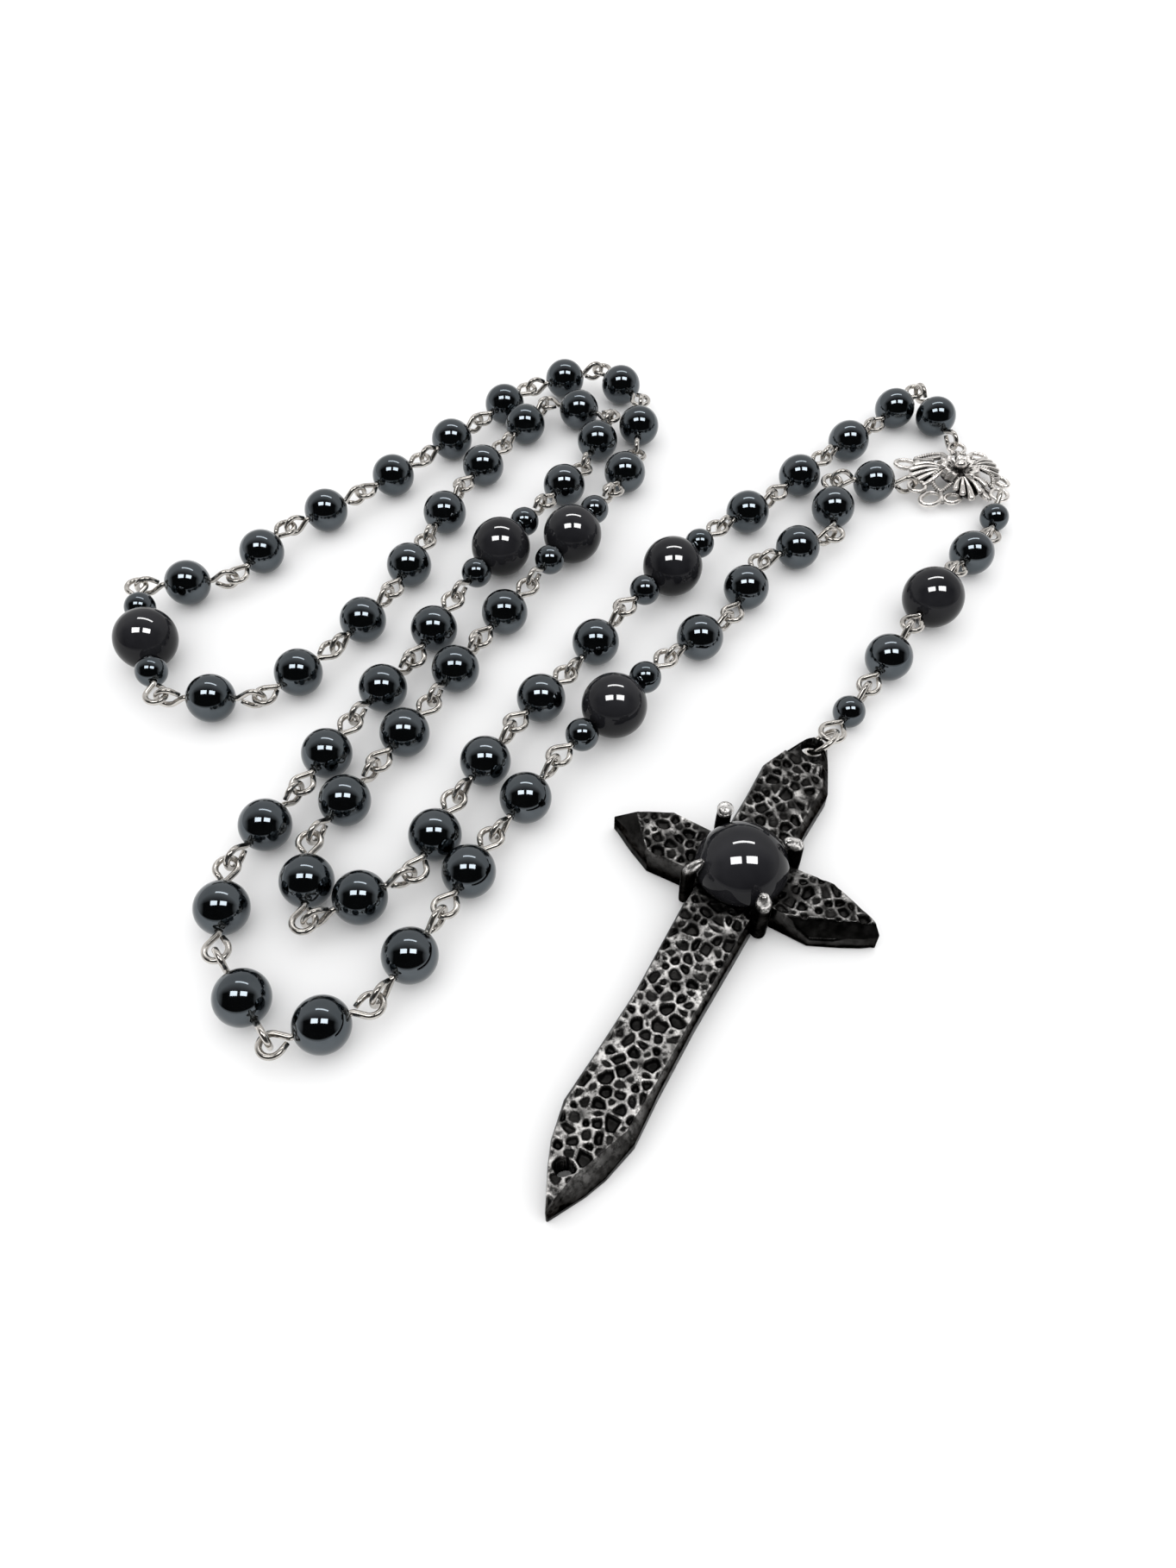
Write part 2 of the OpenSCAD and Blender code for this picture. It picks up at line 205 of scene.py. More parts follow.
def between(near, far, from_z, to_z, half, turn):
    """Place of a unit from its two eyes, half being half its length."""
    slope = math.asin((to_z - from_z) / 2 / half)
    return pose_matrix((near + far) / 2, (from_z + to_z) / 2, slope, turn)


def unit_matrix(strand, i):
    return between(*ROUTE[strand][i], near_z(i), far_z(i), half_of(i), TURNS[strand][i])


def tail_matrix(k):
    return between(*TAIL[k], TAIL_NEAR_Z[k], TAIL_FAR_Z[k], TAIL_R[k] + REACH,
                   TURNS_TAIL[k])


# Bail: heading, ring and wire sizes, and how far it leans over.
BAIL_TURN = 228
BAIL_R = 2.05
BAIL_WIRE_R = 0.40
BAIL_SWELL = 0.045
BAIL_LEAN = 40
BAIL_PLAY = 0.25
# Cross: heading, thickness, its two holes and the thin tab round the top one.
CROSS_TURN = 60.5
CROSS_T = 3.6
UP_LEN = 22.6
TOP_HOLE_AT = UP_LEN - 2.3
TOP_HOLE_R = 1.4
TAB_Z = 2.0
TAB_HALF = 0.5
TAB_START = (18.1, 18.7)
LOW_HOLE_AT = (-37.3, 0.6)
LOW_HOLE_R = 0.95
bail_hold = TAIL[-1][1] + PULL * toward(BAIL_TURN)
bail_middle = bail_hold + BAIL_R * toward(BAIL_TURN)
bail_z = (TAIL_FAR_Z[-1] + TAB_Z) / 2
bail_dip = math.asin((TAIL_FAR_Z[-1] - TAB_Z) / 2 / BAIL_R)
top_hole_spot = bail_middle + (BAIL_R + BAIL_PLAY) * toward(BAIL_TURN)
cross_spot = top_hole_spot - TOP_HOLE_AT * toward(CROSS_TURN)
CROSS_MATRIX = pose_matrix(cross_spot, 0, 0, CROSS_TURN)
BAIL_MATRIX = (
    pose_matrix(bail_middle, bail_z, -bail_dip, BAIL_TURN)
    @ Matrix.Rotation(math.radians(90 - BAIL_LEAN), 4, "X")
)
CENTRE_MATRIX = pose_matrix(CENTRE, 0, 0, 0)


# ---------------- meshes
# Turns a shape that is lathed about X so that it stands along Z.
UPRIGHT = np.array([[0, 0, 1], [1, 0, 0], [0, 1, 0]])
pieces_of = {}


class Shape:
    """Vertices in mm, faces, and two numbers a vertex: worn, and dark or smooth. On the
    antique silver the dark number is mostly painted shade; on the oxidised metal it makes
    the surface smoother.
    """

    def __init__(self):
        self.points, self.faces, self.worn, self.dark = [], [], [], []

    def add(self, points, faces, matrix=None, worn=0.0, dark=0.0):
        points = np.asarray(points, float)
        if matrix is not None:
            m = np.array(matrix)
            points = points @ m[:3, :3].T + m[:3, 3]
        start = sum(len(p) for p in self.points)
        self.points.append(points)
        self.faces += [tuple(start + i for i in face) for face in faces]
        self.worn.append(np.broadcast_to(np.asarray(worn, float), len(points)))
        self.dark.append(np.broadcast_to(np.asarray(dark, float), len(points)))

    def make(self, name, material, nodes, slot):
        mesh = bpy.data.meshes.new(name)
        points = np.concatenate(self.points) * 0.001
        mesh.from_pydata(points.tolist(), [], self.faces)
        for label, values in (("worn", self.worn), ("dark", self.dark)):
            layer = mesh.attributes.new(label, "FLOAT", "POINT")
            layer.data.foreach_set("value", np.concatenate(values).astype(np.float32))
        mesh.validate()
        mesh.update()
        mesh.shade_smooth()
        mesh.materials.append(material)
        piece = bpy.data.objects.new(name, mesh)
        bpy.context.scene.collection.objects.link(piece)
        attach(piece, body_of[nodes[0]])
        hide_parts(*nodes)
        pieces_of.setdefault(slot, []).append(piece)


def grid_faces(rows, columns, wrap_rows=False, wrap_columns=False, flip=False):
    """Squares between the points of a grid, which can close on itself both ways."""
    faces = []
    for r in range(rows if wrap_rows else rows - 1):
        for c in range(columns if wrap_columns else columns - 1):
            a = r * columns + c
            b = r * columns + (c + 1) % columns
            d = ((r + 1) % rows) * columns + c
            e = ((r + 1) % rows) * columns + (c + 1) % columns
            faces.append((a, d, e, b) if flip else (a, b, e, d))
    return faces


def capped(rings, around, flip=False):
    """Faces between rings of points, with a cap on the first and the last."""
    faces = grid_faces(rings, around, False, True, flip)
    last = (rings - 1) * around
    order = 1 if flip else -1
    faces.append(tuple(range(around))[::order])
    faces.append(tuple(range(last, last + around))[::-order])
    return faces


def smooth_step(low, high, x):
    """0 up to low, 1 from high on, with a soft change between."""
    t = np.clip((np.asarray(x, float) - low) / (high - low), 0, 1)
    return t * t * (3 - 2 * t)


def lathe(profile, sides):
    """Profile points (x along the axis, radius), each turned about X into a ring."""
    profile = np.asarray(profile, float)
    angles = np.linspace(0, 2 * math.pi, sides, endpoint=False)
    x = np.repeat(profile[:, 0], sides)
    y = (profile[:, 1:2] * np.cos(angles)).ravel()
    z = (profile[:, 1:2] * np.sin(angles)).ravel()
    return np.stack([x, y, z], 1)


def smooth_path(points, count):
    """Catmull-Rom curve through a few given points."""
    p = np.asarray(points, float)
    spans = len(p) - 1
    out = []
    for k in range(count):
        t = k * spans / (count - 1)
        i = min(int(t), spans - 1)
        f = t - i
        q = [p[min(max(i + j, 0), spans)] for j in (-1, 0, 1, 2)]
        out.append(0.5 * (2 * q[1] + (q[2] - q[0]) * f
                          + (2 * q[0] - 5 * q[1] + 4 * q[2] - q[3]) * f * f
                          + (3 * q[1] - q[0] - 3 * q[2] + q[3]) * f ** 3))
    return np.array(out)


def side_directions(along, closed):
    """One sideways direction for each point of a path, with no twist between them."""
    first = np.array([0, 0, 1.0])
    if abs(along[0] @ first) > 0.9:
        first = np.array([0, 1.0, 0])
    side = np.cross(along[0], first)
    found = []
    for t in along:
        side = side - t * (side @ t)
        side /= np.linalg.norm(side)
        found.append(side)
    found = np.array(found)
    if closed:
        # what doesn't meet at the end is shared out round the whole ring
        other = np.cross(along[0], found[0])
        twist = math.atan2(found[-1] @ other, found[-1] @ found[0])
        for k in range(len(along)):
            turn = -twist * k / len(along)
            across = np.cross(along[k], found[k])
            found[k] = found[k] * math.cos(turn) + across * math.sin(turn)
    return found


def sweep(path, wide, high=None, sides=14, closed=False, up=None):
    """Tube along a path. wide and high are half sizes, one number or one a point."""
    path = np.asarray(path, float)
    n = len(path)
    wide = np.broadcast_to(np.asarray(wide, float), n)
    high = wide if high is None else np.broadcast_to(np.asarray(high, float), n)
    if closed:
        along = np.roll(path, -1, 0) - np.roll(path, 1, 0)
    else:
        along = np.gradient(path, axis=0)
    along /= np.linalg.norm(along, axis=1)[:, None]
    if up is None:
        side = side_directions(along, closed)
    else:
        side = np.cross(along, np.asarray(up, float))
        side /= np.linalg.norm(side, axis=1)[:, None]
    over = np.cross(side, along)
    angles = np.linspace(0, 2 * math.pi, sides, endpoint=False)
    ring = (np.cos(angles)[None, :, None] * side[:, None] * wide[:, None, None]
            + np.sin(angles)[None, :, None] * over[:, None] * high[:, None, None])
    points = (path[:, None] + ring).reshape(-1, 3)
    if closed:
        return points, grid_faces(n, sides, True, True, flip=True)
    return points, capped(n, sides, flip=True)


def taper(count, start, end):
    """1 along a tube, rounded off over the given shares at its two ends."""
    t = np.linspace(0, 1, count)
    out = np.ones(count)
    for along, share_of_end in ((t, start), (1 - t, end)):
        x = np.clip(1 - along / share_of_end, 0, 1)
        out *= np.sqrt(np.clip(1 - x ** 2, 0.0004, 1))
    return out


# ---------------- materials
STONE_BLACK = (0.0015, 0.0015, 0.0018)
STONE_CLOUD = (0.004, 0.004, 0.0045)
STONE_SHINE = 0.17


def new_material(name, metallic=0.0):
    material = bpy.data.materials.new(name)
    material.use_nodes = True
    tree = material.node_tree
    shader = tree.nodes["Principled BSDF"]
    shader.inputs["Metallic"].default_value = metallic
    return material, tree, shader


def node(tree, kind, **values):
    """New node. in_Some_Name sets the input Some Name; other values are settings."""
    made = tree.nodes.new(kind)
    for key, value in values.items():
        if key.startswith("in_"):
            made.inputs[key[3:].replace("_", " ")].default_value = value
        else:
            setattr(made, key, value)
    return made


def noise_at(tree, scale, detail=3.0, rough=0.55):
    place = node(tree, "ShaderNodeTexCoord")
    noise = node(tree, "ShaderNodeTexNoise", in_Scale=scale, in_Detail=detail,
                 in_Roughness=rough)
    tree.links.new(place.outputs["Object"], noise.inputs["Vector"])
    return noise.outputs["Fac"]


def spread(tree, source, low, high, to_low, to_high):
    """A value's range from low to high, stretched to another range."""
    made = node(tree, "ShaderNodeMapRange")
    for key, value in zip(("From Min", "From Max", "To Min", "To Max"),
                          (low, high, to_low, to_high)):
        made.inputs[key].default_value = value
    tree.links.new(source, made.inputs["Value"])
    return made.outputs["Result"]


def blend_colour(tree, factor, first, second):
    made = node(tree, "ShaderNodeMix", data_type="RGBA")
    tree.links.new(factor, made.inputs["Factor"])
    # a Mix node's inputs 6 and 7 and its output 2 are the ones for colours
    for index, value in ((6, first), (7, second)):
        if isinstance(value, tuple):
            made.inputs[index].default_value = (*value, 1)
        else:
            tree.links.new(value, made.inputs[index])
    return made.outputs[2]


def maths(tree, operation, first, second=0.0, clamp=True):
    made = node(tree, "ShaderNodeMath", operation=operation, use_clamp=clamp)
    for index, value in enumerate((first, second)):
        if isinstance(value, (int, float)):
            made.inputs[index].default_value = value
        else:
            tree.links.new(value, made.inputs[index])
    return made.outputs[0]


def bump(tree, shader, source, distance, strength):
    made = node(tree, "ShaderNodeBump", in_Strength=strength, in_Distance=distance)
    tree.links.new(source, made.inputs["Height"])
    tree.links.new(made.outputs["Normal"], shader.inputs["Normal"])


def attribute(tree, name):
    return node(tree, "ShaderNodeAttribute", attribute_name=name).outputs["Fac"]


def clouded(tree, shader, cloud, high, first, second):
    """Base colour that drifts softly from one shade to another."""
    colour = blend_colour(tree, spread(tree, cloud, 0.35, high, 0, 1), first, second)
    tree.links.new(colour, shader.inputs["Base Color"])


def roughened(tree, shader, scale, smoothest, roughest):
    """Roughness that drifts between two values."""
    rough = spread(tree, noise_at(tree, scale, 3), 0.3, 0.7, smoothest, roughest)
    tree.links.new(rough, shader.inputs["Roughness"])


def make_hematite():
    material, tree, shader = new_material("hematite", 1.0)
    clouded(tree, shader, noise_at(tree, 240, 4), 0.65,
            (0.078, 0.090, 0.099), (0.100, 0.112, 0.122))
    roughened(tree, shader, 900, 0.035, 0.085)
    bump(tree, shader, noise_at(tree, 420, 2), 0.00001, 0.35)
    return material


def make_onyx():
    material, tree, shader = new_material("onyx")
    shader.inputs["Specular IOR Level"].default_value = STONE_SHINE
    clouded(tree, shader, noise_at(tree, 160, 4), 0.7, STONE_BLACK, STONE_CLOUD)
    roughened(tree, shader, 700, 0.02, 0.06)
    bump(tree, shader, noise_at(tree, 260, 2), 0.00001, 0.25)
    return material


def make_cabochon():
    material, tree, shader = new_material("cabochon_black")
    shader.inputs["Specular IOR Level"].default_value = STONE_SHINE
    clouded(tree, shader, noise_at(tree, 120, 3), 0.7, STONE_BLACK, STONE_CLOUD)
    roughened(tree, shader, 500, 0.015, 0.04)
    return material


def make_wire():
    material, tree, shader = new_material("wire", 1.0)
    clouded(tree, shader, noise_at(tree, 600, 4), 0.7,
            (0.66, 0.63, 0.59), (0.40, 0.38, 0.355))
    roughened(tree, shader, 2500, 0.10, 0.22)
    bump(tree, shader, noise_at(tree, 900, 2), 0.00002, 0.25)
    return material


def make_antique():
    """Silver rubbed bright on the high places, black where it is deep, with painted shade
    from the mesh on top.
    """
    material, tree, shader = new_material("antique_silver", 1.0)
    deep = node(tree, "ShaderNodeAmbientOcclusion", samples=8, in_Distance=0.0011)
    open_share = spread(tree, deep.outputs["AO"], 0.36, 0.80, 0, 1)
    stain = spread(tree, noise_at(tree, 900, 5), 0.32, 0.62, 0.72, 1)
    rubbed = maths(tree, "MULTIPLY", open_share, stain)
    # the mesh's dark number darkens it further: painted shade on the flower's plate, the fan
    # webs and the petals' undersides; the petals' cups and the bars are darkened too
    shade = maths(tree, "SUBTRACT", rubbed, attribute(tree, "dark"))
    colour = blend_colour(tree, shade, (0.020, 0.018, 0.017), (0.95, 0.91, 0.87))
    tree.links.new(colour, shader.inputs["Base Color"])
    rough = spread(tree, shade, 0, 1, 0.5, 0.24)
    tree.links.new(rough, shader.inputs["Roughness"])
    bump(tree, shader, noise_at(tree, 1500, 4), 0.00005, 0.5)
    return material


def make_oxidised():
    """Blackened metal with silver where it is worn, glossy where it is cut flat."""
    material, tree, shader = new_material("oxidised_metal", 1.0)
    shader.inputs["Specular Tint"].default_value = (0.35, 0.35, 0.35, 1)
    scuff = spread(tree, noise_at(tree, 1500, 5, 0.7), 0.40, 0.56, 0.10, 1)
    worn = maths(tree, "MULTIPLY", attribute(tree, "worn"), scuff)
    cloud = spread(tree, noise_at(tree, 700, 4), 0.35, 0.7, 0, 1)
    black = blend_colour(tree, cloud, (0.008, 0.0078, 0.0075), (0.030, 0.029, 0.028))
    colour = blend_colour(tree, worn, black, (0.82, 0.80, 0.78))
    tree.links.new(colour, shader.inputs["Base Color"])
    grain = spread(tree, noise_at(tree, 1100, 3), 0.3, 0.7, 0.26, 0.42)
    rough = maths(tree, "SUBTRACT", grain,
                  maths(tree, "MULTIPLY", attribute(tree, "dark"), 0.20))
    tree.links.new(rough, shader.inputs["Roughness"])
    rest = maths(tree, "SUBTRACT", 1.0, attribute(tree, "dark"))
    lumps = maths(tree, "MULTIPLY", noise_at(tree, 1300, 5, 0.65), rest)
    bump(tree, shader, lumps, 0.00012, 0.5)
    return material


HEMATITE = make_hematite()
ONYX = make_onyx()
WIRE = make_wire()
ANTIQUE = make_antique()
OXIDISED = make_oxidised()
BLACK_STONE = make_cabochon()


# ---------------- beads
def bead_mesh(r):
    """Ball with a straight hole along X and a softened edge round the hole."""
    lip = BORE_R + 0.13
    sides = 64
    edge = math.asin(lip / r)
    outer = [(-r * math.cos(a), r * math.sin(a))
             for a in np.linspace(edge, math.pi - edge, 41)]
    end = r * math.cos(edge)
    hole = [(end - 0.03, BORE_R + 0.05), (end - 0.12, BORE_R), (0, BORE_R),
            (0.12 - end, BORE_R), (0.03 - end, BORE_R + 0.05)]
    profile = outer + hole
    return lathe(profile, sides), grid_faces(len(profile), sides, True, True)


BEADS = {r: bead_mesh(r) for r in (SMALL_R, AVE_R, ONYX_R)}


def bead_piece(name, r, matrices, node_name):
    """Beads of one size, as one piece. The large size is onyx, the rest hematite."""
    shape = Shape()
    for matrix in matrices:
        shape.add(*BEADS[r], matrix)
    if r == ONYX_R:
        shape.make(name, ONYX, [node_name], "onyx")
    else:
        shape.make(name, HEMATITE, [node_name], "hematite")


def bead_unit(number):
    """Index of a plain bead's unit, counting the pater units too."""
    return number - 1 + (number > 5) + (number > 15)


# Plain beads that lie on the table share a piece, and the ones that lift don't.
LAID_RUNS = ((3, 5), (6, 15), (16, 19))
LIFTING = (1, 2, 20, 21, 22, 23, 24, 25)
for strand in "ab":
    for first, last in LAID_RUNS:
        label = f"aves_{strand}_{first}_{last}"
        matrices = [unit_matrix(strand, bead_unit(n)) for n in range(first, last + 1)]
        bead_piece("beads_" + label, AVE_R, matrices, label)
    for number in LIFTING:
        label = f"ave_{strand}{number}"
        bead_piece("bead_" + label, AVE_R, [unit_matrix(strand, bead_unit(number))], label)

small_step = Matrix.Translation((ONYX_R + TOUCH + SMALL_R, 0, 0))
small_back = Matrix.Translation((-ONYX_R - TOUCH - SMALL_R, 0, 0))
for number, (strand, i) in {1: ("a", 5), 2: ("a", 16), 4: ("b", 16), 5: ("b", 5)}.items():
    middle = unit_matrix(strand, i)
    bead_piece(f"onyx_pater_{number}", ONYX_R, [middle], f"pater_{number}_onyx")
    bead_piece(f"smalls_pater_{number}", SMALL_R, [middle @ small_back, middle @ small_step],
               f"pater_{number}_smalls")
middle = unit_matrix("a", LAST_A)
bead_piece("onyx_pater_3", ONYX_R, [middle], "pater_3_onyx")
bead_piece("small_pater_3_a", SMALL_R, [middle @ small_back], "pater_3_small_a")
bead_piece("small_pater_3_b", SMALL_R, [middle @ small_step], "pater_3_small_b")
for k, label in enumerate(("tail_small_1", "tail_ave_2", "tail_onyx_3", "tail_ave_4",
                           "tail_small_5")):
    bead_piece("bead_" + label, TAIL_R[k], [tail_matrix(k)], label)


# ---------------- eye pins
def eye_path(r, up):
    """Pear-shaped loop round (0, 0), starting on the stem at +X and ending beside it."""
    point = 1.90 * r / EYE_R
    lean = math.acos(r / point)
    stem = [(point + 0.28, 0.0), (point + 0.02, 0.03), (point - 0.20, 0.20)]
    arc = [(r * math.cos(a), r * math.sin(a))
           for a in np.linspace(lean + 0.12, 2 * math.pi - lean - 0.06, 26)]
    cut_end = [(point - 0.38, -0.45)]
    flat = np.array(stem + arc + cut_end)
    if up:
        return np.stack([flat[:, 0], np.zeros(len(flat)), flat[:, 1]], 1)
    return np.stack([flat[:, 0], flat[:, 1], np.zeros(len(flat))], 1)


def pin_mesh(half, near_up, far_up, far_r=EYE_R):
    """One wire: near eye at X = -half, straight stem, far eye at X = +half."""
    near = eye_path(EYE_R, near_up) + np.array([-half, 0, 0])
    far = eye_path(far_r, far_up) * np.array([-1, -1, -1])
    far = far + np.array([half + far_r - EYE_R, 0, 0])
    stem = np.linspace(near[0], far[0], 6)[1:-1]
    path = np.concatenate([near[::-1], stem, far])
    radius = np.full(len(path), WIRE_R)
    radius[[0, -1]] = 0.30
    return sweep(path, radius, sides=16)


def pins_piece(name, pins, node_name):
    shape = Shape()
    for matrix, mesh in pins:
        shape.add(*mesh, matrix)
    shape.make(name, WIRE, [node_name], "wire")


def unit_pin(strand, i):
    """Pin of one unit. Its eyes stand up on even units and lie flat on odd ones."""
    up = i % 2 == 0
    return unit_matrix(strand, i), pin_mesh(half_of(i), up, up)


def both(first, last):
    """Pins of a run of units on both strands."""
    return [unit_pin(strand, i) for strand in "ab" for i in range(first, last + 1)]


pins_piece("eye_pins_right", both(2, 5), "right_pins")
pins_piece("eye_pins_near", both(6, 15), "near_pins")
pins_piece("eye_pins_far", both(16, 20), "far_pins")
for number in LIFTING:
    i = bead_unit(number)
    pins_piece(f"eye_pins_{number}", both(i, i), f"pins_{number}")
pins_piece("eye_pin_pater_3", [unit_pin("a", LAST_A)], "pater_3_pin")
for k, r in enumerate(TAIL_R):
    far_r = LOW_EYE_R if k == len(TAIL_R) - 1 else EYE_R
    pin = (tail_matrix(k), pin_mesh(r + REACH, True, False, far_r))
    pins_piece(f"eye_pin_tail_{k + 1}", [pin], f"tail_pin_{k + 1}")


# ---------------- bail
def bail_piece():
    angles = np.linspace(0, 2 * math.pi, 72, endpoint=False)
    path = np.stack([BAIL_R * np.cos(angles), BAIL_R * np.sin(angles), 0 * angles], 1)
    wide = BAIL_WIRE_R + BAIL_SWELL * np.cos(2 * angles)
    shape = Shape()
    shape.add(*sweep(path, wide, sides=20, closed=True), BAIL_MATRIX)
    shape.make("bail_ring", WIRE, ["bail"], "wire")


bail_piece()


# ---------------- the cross
# Pits lie in staggered rows, each one shifted and sized at random. Where pits don't
# meet, a pit is at most ROUND_PIT in radius.
PIT_STEP = 1.36
ROUND_PIT = 0.82


def scatter_pits():
    rng = np.random.RandomState(12)
    spots, sizes = [], []
    for row, u in enumerate(np.arange(-42, 24, PIT_STEP * 0.87)):
        for v in np.arange(-18, 18, PIT_STEP):
            shift = PIT_STEP / 2 if row % 2 else 0
            jump = rng.uniform(-0.52, 0.52, 2)
            size = rng.uniform(-0.30, 0.34)
            if abs(v) < 6 or abs(u) < 6:
                spots.append((u + jump[0], v + shift + jump[1]))
                sizes.append(size)
    return np.array(spots), np.array(sizes)


pit_spots, pit_sizes = scatter_pits()


def pits(u, v):
    """Distance in mm to the nearest ridge between pits, and that pit's number."""
    edge = np.empty(len(u))
    which = np.empty(len(u), int)
    batch = 4000
    for start in range(0, len(u), batch):
        part = slice(start, start + batch)
        d = np.hypot(u[part, None] - pit_spots[:, 0], v[part, None] - pit_spots[:, 1])
        d = d - pit_sizes
        order = np.argpartition(d, 1, axis=1)[:, :2]
        first = np.take_along_axis(d, order[:, :1], 1)[:, 0]
        second = np.take_along_axis(d, order[:, 1:2], 1)[:, 0]
        edge[part] = np.minimum((second - first) / 2, ROUND_PIT - first)
        which[part] = order[:, 0]
    return edge, which


# Headings of the short arm that holds the bail and of the long arm.
UP_TURN, DOWN_TURN = 0, 180
# Each arm, looking outward: distance out, then for its right side and its left
# side the outline, the edge of the face, and where the bevel meets the wall.
UP_ARM = [
    (0.0, 3.9, 3.5, 2.9, 3.9, 3.5, 2.9),
    (10.0, 3.9, 3.3, 2.7, 3.9, 3.6, 2.9),
    (15.3, 4.1, 3.3, 2.5, 4.1, 3.7, 2.8),
    (18.8, 2.72, 1.8, 2.4, 2.72, 2.35, 2.7),
    (22.1, 1.3, 0.8, 2.2, 1.3, 1.1, 2.3),
    (22.6, 0.7, 0.4, 2.2, 0.7, 0.6, 2.3),
]
DOWN_ARM = [
    (0.0, 3.9, 3.5, 2.9, 3.9, 3.5, 2.9),
    (4.2, 3.8, 3.5, 3.0, 3.8, 3.4, 2.9),
    (18.0, 3.3, 3.05, 3.0, 3.5, 3.1, 2.9),
    (26.0, 3.6, 3.3, 2.9, 3.6, 3.1, 2.8),
    (31.5, 3.9, 3.5, 2.8, 3.85, 2.9, 2.4),
    (35.5, 3.0, 2.80, 2.8, 2.95, 1.45, 1.5),
    (37.8, 2.0, 1.85, 2.8, 2.05, 0.60, 1.2),
    (41.4, 0.12, 0.05, 2.6, 0.12, -0.04, 1.0),
]
LEFT_ARM = [
    (3.3, 3.5, 3.2, 2.9, 2.8, 2.4, 2.8),
    (9.9, 3.9, 3.5, 2.9, 2.95, 2.5, 2.7),
    (12.5, 2.5, 2.2, 2.8, 1.6, 1.2, 2.4),
    (13.6, 1.85, 1.6, 2.6, 0.95, 0.7, 2.2),
    (15.9, 0.66, 0.6, 1.3, -0.5, -0.5, 1.2),
]
RIGHT_ARM = [
    (3.3, 2.8, 2.5, 2.8, 3.5, 3.2, 2.9),
    (9.5, 3.0, 2.7, 2.4, 3.9, 3.5, 2.9),
    (12.5, 1.6, 1.3, 1.5, 2.7, 2.3, 2.8),
    (14.6, 0.5, 0.3, 1.1, 1.75, 1.45, 2.6),
    (15.95, -0.45, -0.5, 0.9, 0.70, 0.66, 2.2),
]
# Flat cuts at the ends of the side arms, in the cross's own axes: a point on the
# line where the cut starts, the direction it faces, and how steeply it falls.
LEFT_CUT = ((1.6, 13.5), (-0.64, 0.77), 0.54)
RIGHT_CUT = ((-1.4, -9.2), (-0.917, -0.40), 1.5)


def cut_off(u, v, cut_plane, height, worn):
    """Face sliced by a flat cut, with worn metal along the slice's upper edge."""
    (at_u, at_v), (face_u, face_v), fall = cut_plane
    past = (u - at_u) * face_u + (v - at_v) * face_v
    smooth = smooth_step(-0.02, 0.08, past)
    height = np.where(past > 0, np.minimum(height, CROSS_T - fall * past), height)
    height = np.where(past > 0.1, CROSS_T - fall * past, height)
    glint = 0.7 * (1 - smooth_step(0.0, 0.10, abs(past)))
    return np.maximum(height, 1.0), np.maximum(worn * (1 - smooth), glint), smooth


def face_height(u, v, rim, cut_plane=None):
    """Height of the face, how worn it is and how smooth, rim mm in from its edge."""
    # pits: a thin level ridge, then a bowl whose depth changes from pit to pit
    edge, which = pits(u, v)
    deep = 0.40 + 0.22 * np.sin(which * 2.4)
    ridge = 0.05 + 0.03 * np.sin(which * 1.7)
    bowl = smooth_step(ridge - 0.02, ridge + 0.36, edge) * deep
    bowl = bowl * smooth_step(-0.10, 0.22, rim)
    # silver shows on the ridges and the rim, in patches, and most on the long arm
    worn = 1 - smooth_step(ridge + 0.02, ridge + 0.13, edge)
    patch = (0.30 + 0.34 * np.sin(0.9 * u + 1.3 * v) * np.sin(0.37 * u + 1.0)
             + 0.24 * np.sin(2.9 * u - 1.7 * v))
    blade = smooth_step(6, 14, -u) * 0.42
    worn = worn * np.clip(patch + blade, 0.06, 1)
    rim_glint = (1 - smooth_step(0.04, 0.22, rim)) * np.clip(patch + blade, 0, 1) * 0.8
    worn = np.maximum(worn, rim_glint)
    worn = worn * smooth_step(4.8, 7.5, np.hypot(u, v))
    height = CROSS_T - bowl
    smooth = np.zeros(len(height))
    if cut_plane:
        height, worn, smooth = cut_off(u, v, cut_plane, height, worn)
    # the tab round the bail's hole is thinned from both sides
    tab = smooth_step(*TAB_START, u)
    height = height * (1 - tab) + (TAB_Z + TAB_HALF - 0.2 * bowl) * tab
    worn = worn * (1 - 0.9 * tab)
    return height, worn, smooth


def squares_in_hole(u, v, hole):
    """Row and column of each square of a grid whose middle is inside a round hole."""
    hole_u, hole_v, hole_r = hole
    middle_u = (u[:-1, :-1] + u[1:, 1:]) / 2
    middle_v = (v[:-1, :-1] + v[1:, 1:]) / 2
    inside = np.hypot(middle_u - hole_u, middle_v - hole_v) < hole_r
    return {(int(r), int(c)) for r, c in zip(*np.where(inside))}


def hole_wall(gone, columns, base):
    """Wall from the face's missing squares down to the underside's, and its points."""
    steps = {
        (-1, 0): ((0, 0), (0, 1)),
        (1, 0): ((1, 1), (1, 0)),
        (0, -1): ((1, 0), (0, 0)),
        (0, 1): ((0, 1), (1, 1)),
    }
    faces, rim = [], set()
    for r, c in gone:
        for (dr, dc), (p, q) in steps.items():
            if (r + dr, c + dc) in gone:
                continue
            a = (r + p[0]) * columns + c + p[1]
            b = (r + q[0]) * columns + c + q[1]
            faces.append((a, b, base + b, base + a))
            rim.update((a, b))
    return faces, rim


